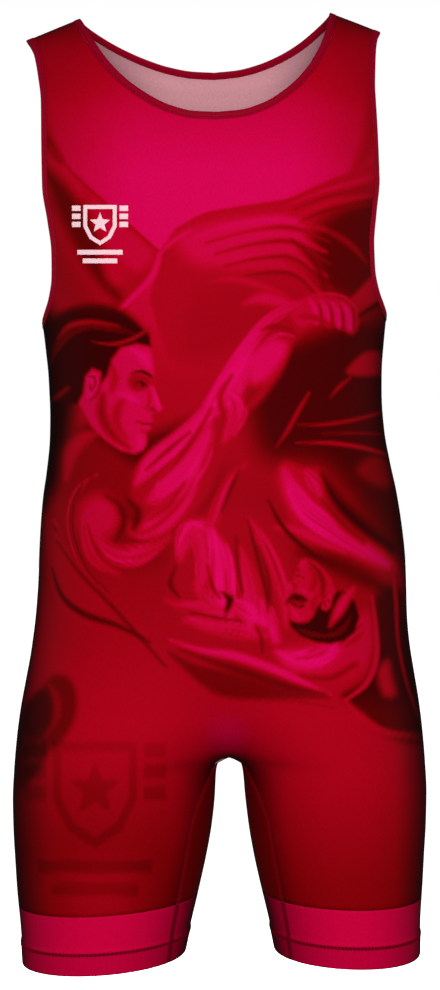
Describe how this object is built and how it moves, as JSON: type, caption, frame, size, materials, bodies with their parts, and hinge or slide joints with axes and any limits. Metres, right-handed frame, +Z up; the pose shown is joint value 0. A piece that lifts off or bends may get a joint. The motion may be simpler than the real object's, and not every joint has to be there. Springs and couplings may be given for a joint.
{
  "type": "wrestling singlet",
  "caption": "Sleeveless one-piece stretch singlet in its hollow worn form, with scooped neck, deep armholes, bound edges and thigh-length legs with hemmed bands.",
  "frame": {"origin": "midway between the neck ends of the two shoulder seams, where the wearer's shoulders hold the garment", "axes": "+Z up, from the legs to the shoulders; the front faces -Y; +X is to the right when looking at the front"},
  "size_m": [0.3766, 0.2214, 0.8598],
  "materials": {
    "front_cloth": "satin stretch knit, tonal red print",
    "back_cloth": "satin stretch knit, tonal red print",
    "binding": "folded stretch binding, dark red",
    "leg_band": "satin stretch knit, bright crimson"
  },
  "bodies": {
    "root": {"front_panel": "front_cloth", "back_panel": "back_cloth", "neck_binding": "binding", "armhole_binding_left": "binding", "armhole_binding_right": "binding", "leg_band_left": "leg_band", "leg_band_right": "leg_band"}
  },
  "joints": []
}
